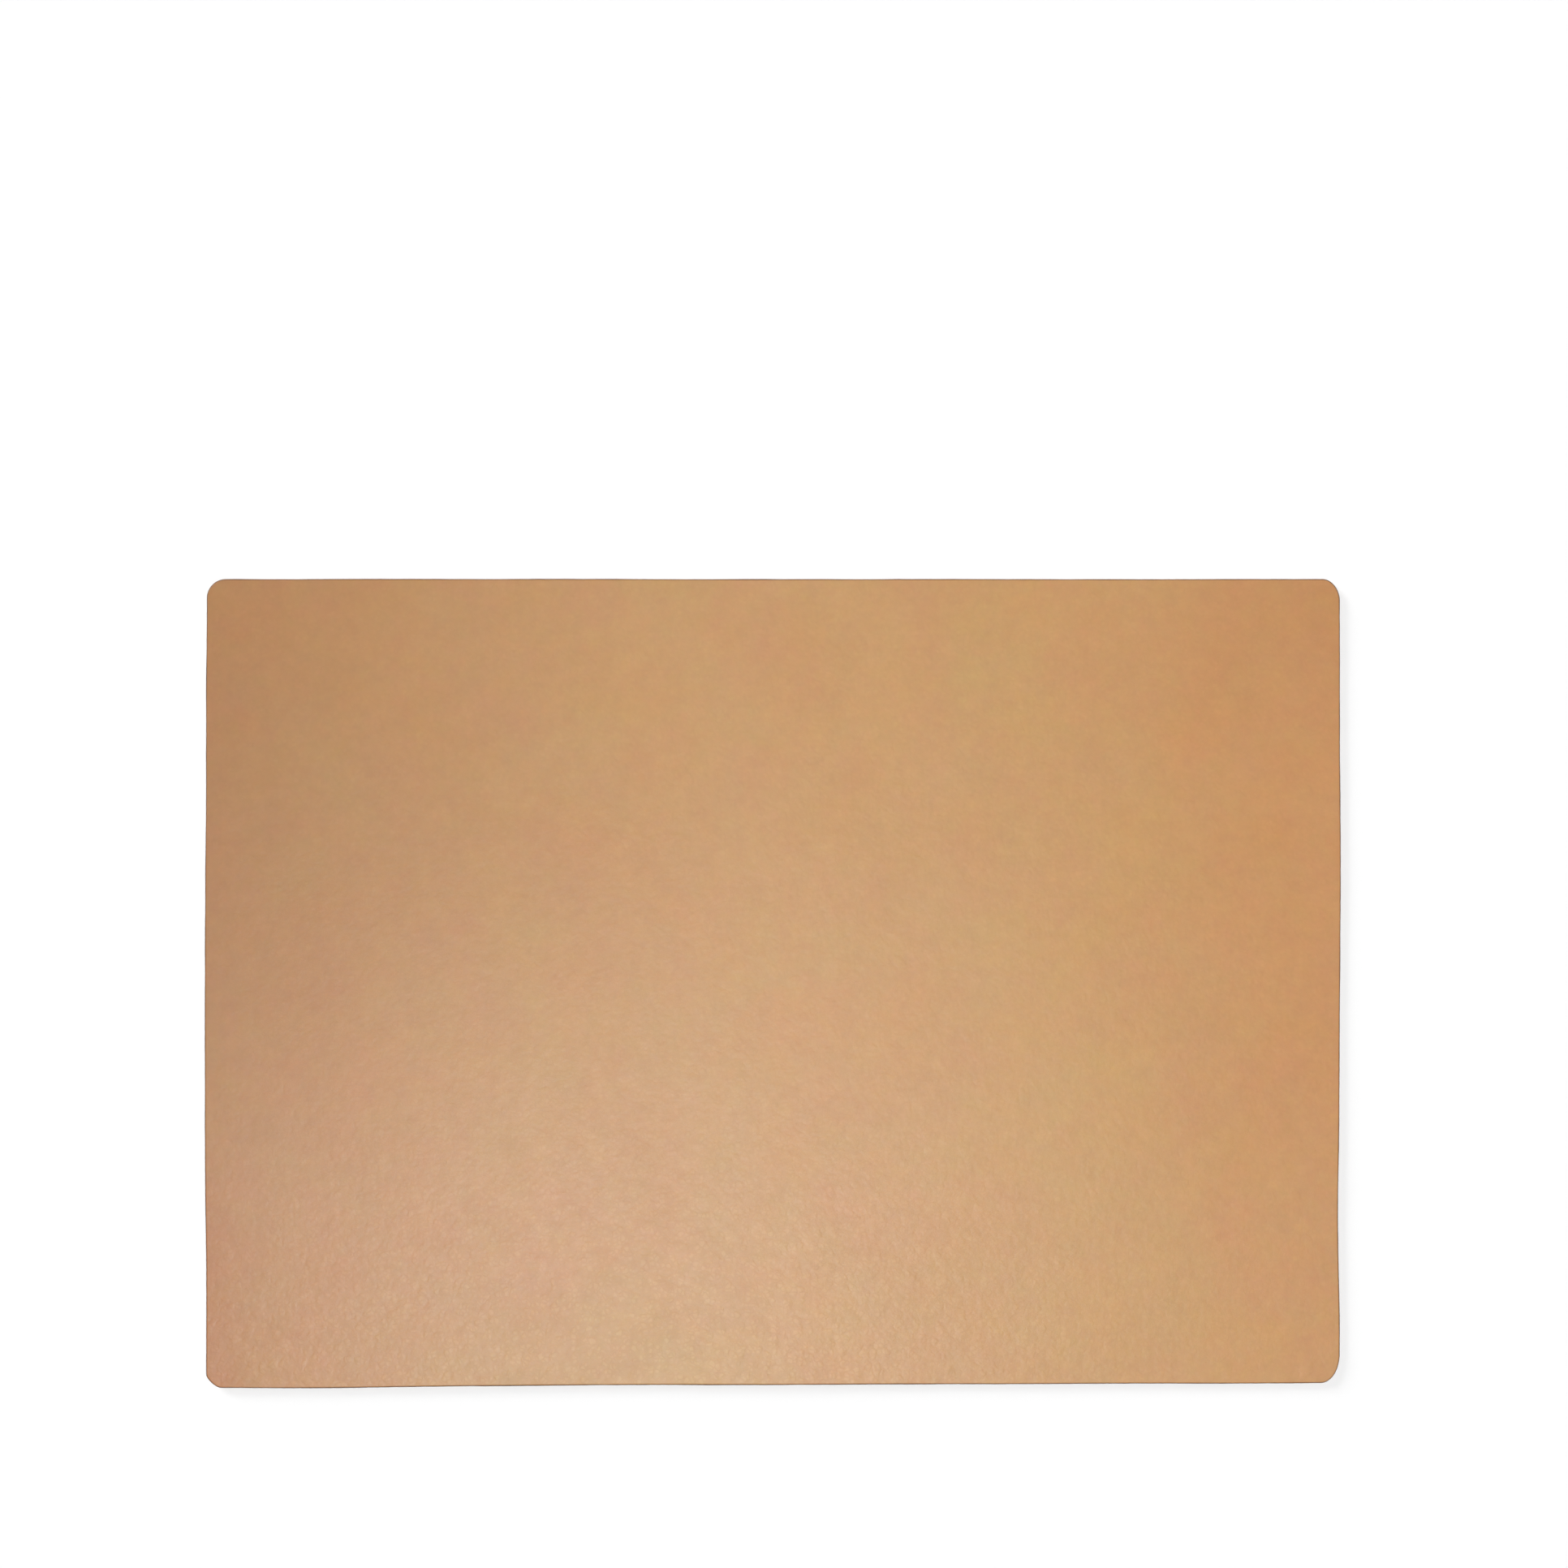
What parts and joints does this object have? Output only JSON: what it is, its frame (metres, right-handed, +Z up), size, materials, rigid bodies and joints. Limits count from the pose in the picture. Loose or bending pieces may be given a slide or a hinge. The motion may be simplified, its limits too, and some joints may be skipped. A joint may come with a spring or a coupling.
{
  "type": "desk mat",
  "caption": "Flat rectangular leather desk mat with rounded corners, a stiffening core board, a suede underside and a painted edge.",
  "frame": {"origin": "on the desk, under the middle of the mat", "axes": "+X along the mat's width, to the right of a person sitting at it; +Y to the far side of the desk; +Z up, out of the leather face"},
  "size_m": [0.66, 0.47, 0.0033],
  "materials": {
    "leather": "satin smooth-grain tan leather",
    "bond_film": "cured adhesive film",
    "core_board": "pressed leather-fibre board",
    "suede": "short-nap suede",
    "edge_paint": "satin edge paint, dark brown"
  },
  "bodies": {
    "root": {"leather_face": "leather", "upper_bond_film": "bond_film", "core_board": "core_board", "lower_bond_film": "bond_film", "suede_backing": "suede", "edge_paint_bead": "edge_paint"}
  },
  "joints": []
}
